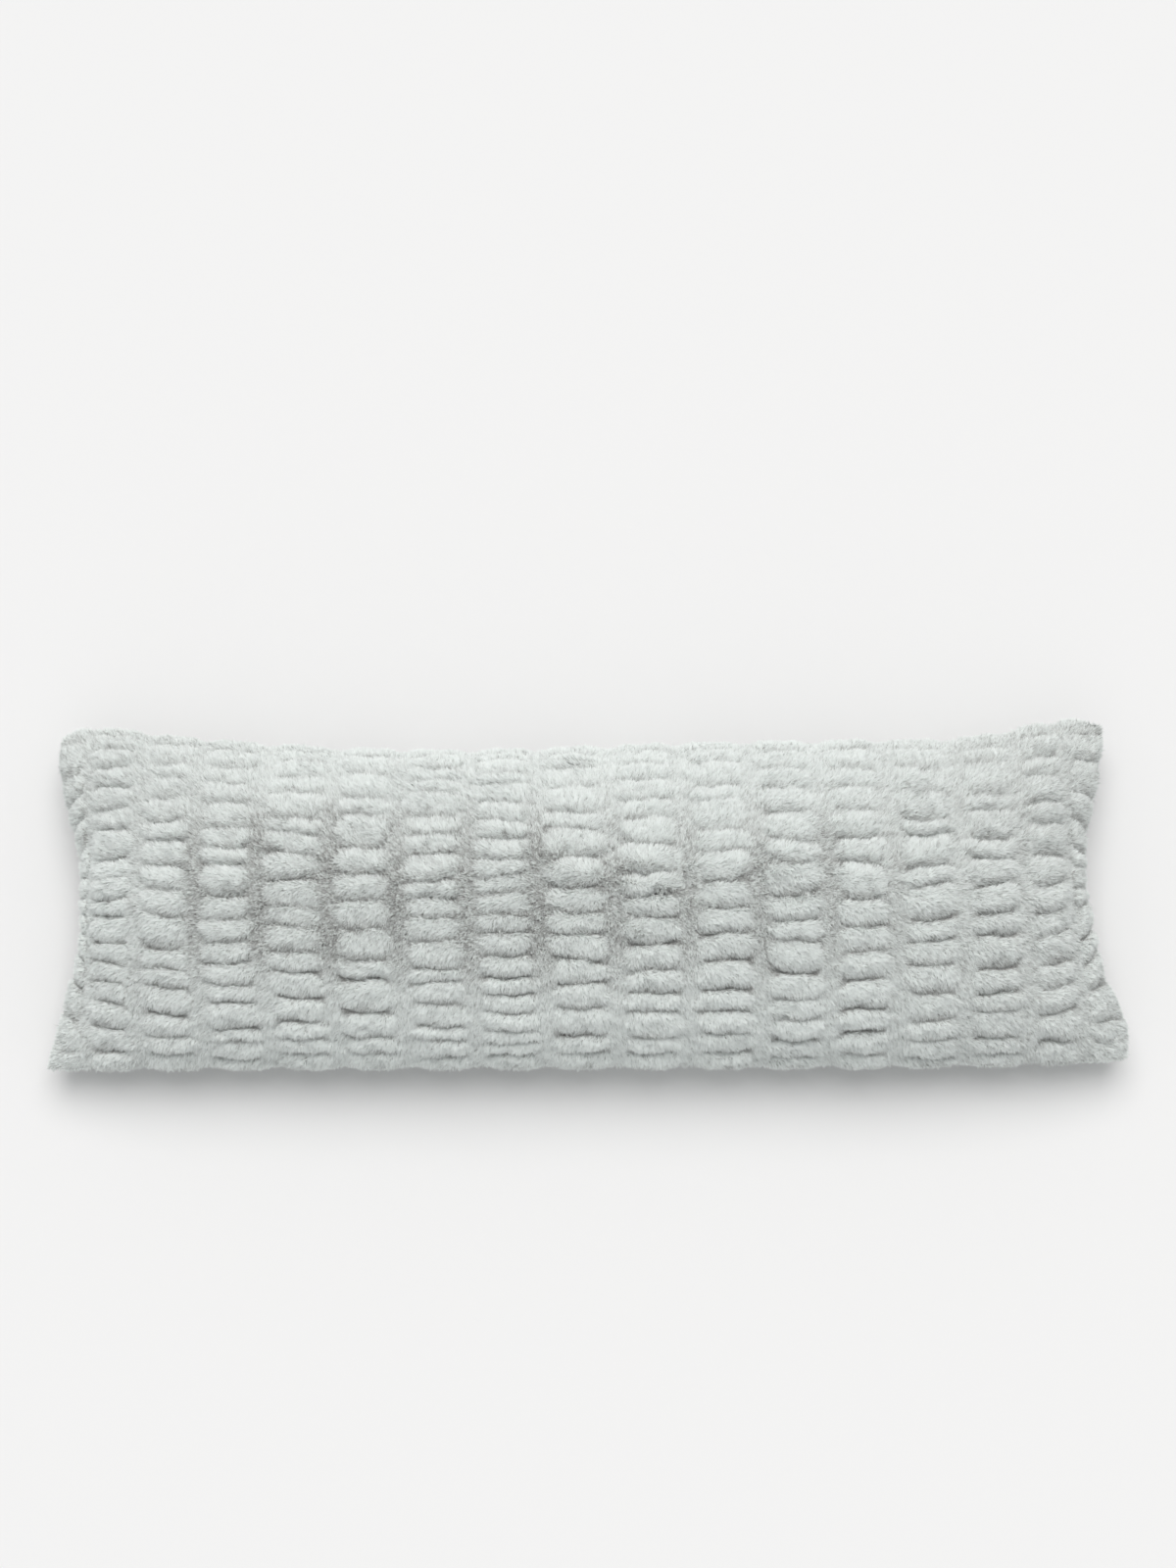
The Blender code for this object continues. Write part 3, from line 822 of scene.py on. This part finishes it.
def face_pile(face):
    """How the pile lies over the face: smooth on the puffs, parted in the seams half way up."""
    x, y = face.points[..., 0], face.points[..., 1]
    up_cloth = face.place[..., 1] / CLOTH_HALF
    seam = (1 - face.fullness) ** SEAM_POWER
    parted = parting(face, seam)
    top = climb(up_cloth, TOP_ROWS)
    edges = np.maximum(top, climb(np.abs(x), OUTER_ENDS))
    crease = climb(face.depth, CREASE) * seam
    length = 1 - PARTED_SHORTER * parted - CREASE_SHORTER * crease - UNDERSIDE_SHORTER * face.underside
    length = STRAND_LENGTH * length * (1 - EDGES_SHORTER * edges)
    # painted shade in the slits and under each puff, stronger low on the face
    strength = mix(PAINTED_CREASE_SHADE_AT_BOTTOM, PAINTED_CREASE_SHADE_AT_TOP, climb(y, PAINTED_CREASE_SHADE_EASING))
    strength = strength - PAINTED_CREASE_SHADE_LOST_IN_OPEN * openness_at(x, y) + PAINTED_CREASE_SHADE_ADDED_TO_TOP_ROWS * top
    # painted shade over the face, and the parted pile's darker tone, which is partly painted shade
    # inside the open pile
    tone = painted_shade_over_face(x, y, -up_cloth, seam) + PARTED_TONE * parted
    tone = tone + strength * (crease + PAINTED_UNDERSIDE_SHADE * face.underside)
    return Skin(
        points=listed(face.points),
        quads=grid_quads(*parted.shape),
        place=listed(face.place),
        up=listed(face.up),
        stand=listed(face.stand),
        shade=listed(face.shade),
        nap=listed(combing_of(face, parted)),
        lean=(MOST_LEAN * (1 - PARTED_RISE * parted)).ravel(),
        length=length.ravel(),
        tone=tone.ravel(),
        parted=parted.ravel(),
        density=np.ones(parted.size),
    )


def back_pile(rings):
    """How the pile lies over the back: brushed down towards the floor."""
    rows, rim = rings.shape[:2]
    outwards = -grid_normals(np.concatenate([rings, rings[:, :1]], 1))[:, :-1]
    outwards[BACK_RINGS:] = (0, 0, -1)
    upwards = unit(-np.gradient(rings, axis=0))
    index = np.arange(rows * rim).reshape(rows, rim)
    quads = grid_quads(rows, rim)[:, ::-1]
    closing = np.stack([index[:-1, -1], index[:-1, 0], index[1:, 0], index[1:, -1]], -1)
    round_way = np.linalg.norm(np.diff(rings[0], axis=0, prepend=rings[0][-1:]), axis=1).cumsum()
    down_way = np.linalg.norm(np.diff(rings, axis=0, prepend=rings[:1]), axis=2).cumsum(0)
    place = np.stack([np.broadcast_to(round_way, (rows, rim)), -down_way], -1)
    swirl = noise(place[..., 0], place[..., 1], BACK_SWIRL_SCALE, 4)
    every = np.ones(rows * rim)
    return Skin(
        points=listed(rings),
        quads=np.concatenate([quads, closing]),
        place=listed(place),
        up=listed(upwards),
        stand=listed(outwards),
        shade=listed(outwards),
        nap=listed(np.stack([swirl, -1 + BACK_SWIRL * swirl], -1)),
        lean=MOST_LEAN * every,
        length=STRAND_LENGTH * every,
        tone=BACK_TONE * every,
        parted=0 * every,
        density=np.repeat(np.where(np.arange(rows) < BACK_RINGS, 1, PATCH_DENSITY), rim),
    )


def centred(face):
    """The face with the middle of its plan over the origin."""
    plan = listed(face.points)[:, :2]
    middle = (plan.min(0) + plan.max(0)) / 2
    return face._replace(points=face.points - [*middle, 0])


def cover_mesh(face, rings):
    """One closed cover: the face, then the rings of the back from its rim."""
    rows, lines = face.points.shape[:2]
    rim_index = ring_of(np.arange(rows * lines).reshape(rows, lines))
    back_index = rows * lines + np.arange(rings[1:, :, 0].size).reshape(-1, len(rim_index))
    index = np.concatenate([rim_index[None], back_index])
    index = np.concatenate([index, index[:, :1]], 1)
    back_quads = index.ravel()[grid_quads(*index.shape)[:, ::-1]]
    points = np.concatenate([listed(face.points), listed(rings[1:])])
    quads = np.concatenate([grid_quads(rows, lines), back_quads])
    plan = points[:, :2]
    uvs = (plan - plan.min(0)) / np.ptp(plan, axis=0) * (1 - 2 * MAP_MARGIN) + MAP_MARGIN
    mesh = make_mesh("pillow_cover", points, quads, uvs[quads.ravel()])
    mesh.shade_smooth()
    return mesh


def make_pillow():
    face = centred(face_cloth())
    rings = back_cloth(ring_of(face.points))
    piece = add_piece("pillow_cover", cover_mesh(face, rings), backing_material())
    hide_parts("pillow")

    material = fur_material()
    add_fur("pile_face", face_pile(face), FACE_STRANDS, STRAND_WIDTH, material)
    add_fur("pile_back", back_pile(rings), BACK_STRANDS, BACK_STRAND_WIDTH, material)


# ---- Studio ----
PIXEL = 0.001107  # metres a pixel of the photograph's 1200 by 1600 frame, at the pillow
FRAME_WIDTH = 1200 * PIXEL
CAMERA_DISTANCE = 3.9
CAMERA_TILT = math.radians(8)
AXIS_ABOVE_PILLOW = 0.124
SENSOR = 36.0
FLOOR_HALF = 40.0
BACKDROP = (0.80, 0.80, 0.80, 1)
SKY_STRENGTH = 0.55
SKY_COLOR = (0.985, 1.0, 1.0)
KEY_STRENGTH = 2.0
KEY_COLOR = (1.0, 0.98, 0.972)
KEY_SPREAD = math.radians(50)
KEY_PLACE = (0.0, 1.5, 2.8)
FILL_STRENGTH = 0.15
FILL_PLACE = (-0.3, -2.4, 1.6)


def add_camera():
    data = bpy.data.cameras.new("camera")
    camera = bpy.data.objects.new("camera", data)
    bpy.context.scene.collection.objects.link(camera)
    target = Vector((0, AXIS_ABOVE_PILLOW, EDGE_HEIGHT))
    away = Vector((0, -math.sin(CAMERA_TILT), math.cos(CAMERA_TILT)))
    camera.location = target + CAMERA_DISTANCE * away
    camera.rotation_euler = (-away).to_track_quat("-Z", "Y").to_euler()
    data.sensor_fit = "HORIZONTAL"
    data.sensor_width = SENSOR
    data.lens = SENSOR * CAMERA_DISTANCE / FRAME_WIDTH
    bpy.context.scene.camera = camera


def add_sun(name, place, strength, color):
    data = bpy.data.lights.new(name, "SUN")
    data.energy = strength
    data.color = color
    data.angle = KEY_SPREAD
    light = bpy.data.objects.new(name, data)
    light.location = place
    light.rotation_euler = (-Vector(place)).to_track_quat("-Z", "Y").to_euler()
    bpy.context.scene.collection.objects.link(light)


def add_floor():
    corners = FLOOR_HALF * np.array([(-1, -1, 0), (1, -1, 0), (1, 1, 0), (-1, 1, 0)], float)
    mesh = make_mesh("floor", corners, np.array([[0, 1, 2, 3]]))
    material = bpy.data.materials.new("studio_floor")
    principled = shader(material)
    principled.inputs["Base Color"].default_value = BACKDROP
    principled.inputs["Roughness"].default_value = 0.9
    principled.inputs["Specular IOR Level"].default_value = 0.1
    mesh.materials.append(material)
    floor = bpy.data.objects.new("floor", mesh)
    bpy.context.scene.collection.objects.link(floor)


def add_studio():
    world = bpy.data.worlds.new("studio")
    world.use_nodes = True
    world.node_tree.nodes["Background"].inputs["Color"].default_value = (*SKY_COLOR, 1)
    world.node_tree.nodes["Background"].inputs["Strength"].default_value = SKY_STRENGTH
    bpy.context.scene.world = world
    bpy.context.scene.view_settings.view_transform = "Standard"
    add_floor()
    add_camera()
    add_sun("key_light", KEY_PLACE, KEY_STRENGTH, KEY_COLOR)
    add_sun("fill_light", FILL_PLACE, FILL_STRENGTH, SKY_COLOR)


make_pillow()
add_studio()
